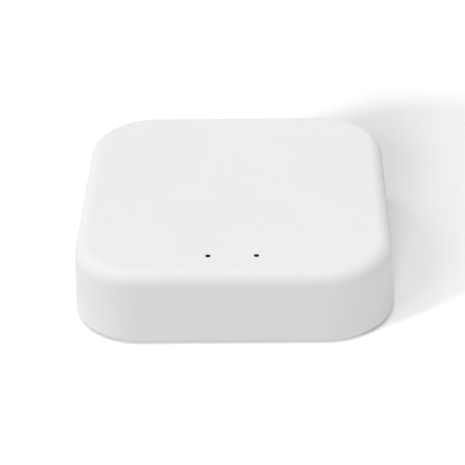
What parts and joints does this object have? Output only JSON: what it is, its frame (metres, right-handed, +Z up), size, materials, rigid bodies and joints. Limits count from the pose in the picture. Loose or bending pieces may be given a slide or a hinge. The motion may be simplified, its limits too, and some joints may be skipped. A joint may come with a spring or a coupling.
{
  "type": "smart home hub",
  "caption": "Flat square puck with rounded corners that links small wireless devices to a wired network; two status lights on top, ports and a reset button at the back.",
  "frame": {"origin": "middle of the footprint, on the surface that the feet stand on", "axes": "+Z up; -Y is the front, with the two status lights; +Y is the back, with the ports; +X is to the right, seen from the front"},
  "size_m": [0.09, 0.09, 0.022],
  "materials": {
    "white_case": "fine matt moulded texture",
    "button_white": "satin moulded",
    "foot_rubber": "matt",
    "screw_steel": "zinc plated",
    "label_film": "satin film, blank",
    "guard_black": "matt",
    "smoked_plastic": "smoked, translucent",
    "led_resin": "diffusing resin",
    "connector_steel": "tin plated, satin",
    "connector_black": "fine matt",
    "contact_gold": "gold plated",
    "board_green": "solder mask",
    "chip_black": "moulded epoxy",
    "lead_tin": "tin plated",
    "can_nickel": "nickel silver",
    "capacitor_can": "satin",
    "ferrite": "matt",
    "chip_ceramic": "matt",
    "resistor_black": "glazed"
  },
  "bodies": {
    "case": {"top_cover": "white_case", "base_cover": "white_case", "foot_front_left": "foot_rubber", "foot_front_right": "foot_rubber", "foot_back_left": "foot_rubber", "foot_back_right": "foot_rubber", "case_screws": "screw_steel", "board_screws": "screw_steel", "rating_label": "label_film", "light_guard": "guard_black", "light_pipe_left": "smoked_plastic", "light_pipe_right": "smoked_plastic", "led_power": "led_resin", "led_network": "led_resin", "switch_base": "connector_black", "switch_dome": "connector_steel", "switch_bracket": "connector_steel", "ethernet_shield": "connector_steel", "ethernet_housing": "connector_black", "ethernet_contacts": "contact_gold", "usb_shell": "connector_steel", "usb_insulator": "connector_black", "usb_contacts": "contact_gold", "main_board": "board_green", "main_processor": "chip_black", "processor_leads": "lead_tin", "ram_chip": "chip_black", "ram_leads": "lead_tin", "flash_chip": "chip_black", "flash_leads": "lead_tin", "lan_transformer": "chip_black", "transformer_leads": "lead_tin", "zigbee_board": "board_green", "zigbee_shield": "can_nickel", "zigbee_chip": "chip_black", "processor_crystal": "can_nickel", "lan_crystal": "can_nickel", "bulk_capacitor_1": "capacitor_can", "bulk_capacitor_2": "capacitor_can", "power_inductor_1": "ferrite", "power_inductor_2": "ferrite", "buck_regulator_1": "chip_black", "buck_regulator_2": "chip_black", "smd_capacitors": "chip_ceramic", "smd_resistors": "resistor_black"},
    "button": {"reset_button": "button_white"},
    "plunger": {"switch_plunger": "connector_black"}
  },
  "joints": [
    {"name": "reset_press", "type": "slide", "parent": "case", "child": "button", "axis": [0, -1, 0], "range_m": [0, 0.0003], "stiffness_N_per_m": 400},
    {"name": "switch_press", "type": "slide", "parent": "case", "child": "plunger", "axis": [0, -1, 0], "range_m": [0, 0.0003], "stiffness_N_per_m": 400, "deforming": ["switch_dome"]}
  ],
  "couplings": [
    {"joint": "switch_press", "follows": "reset_press", "ratio": 1}
  ]
}
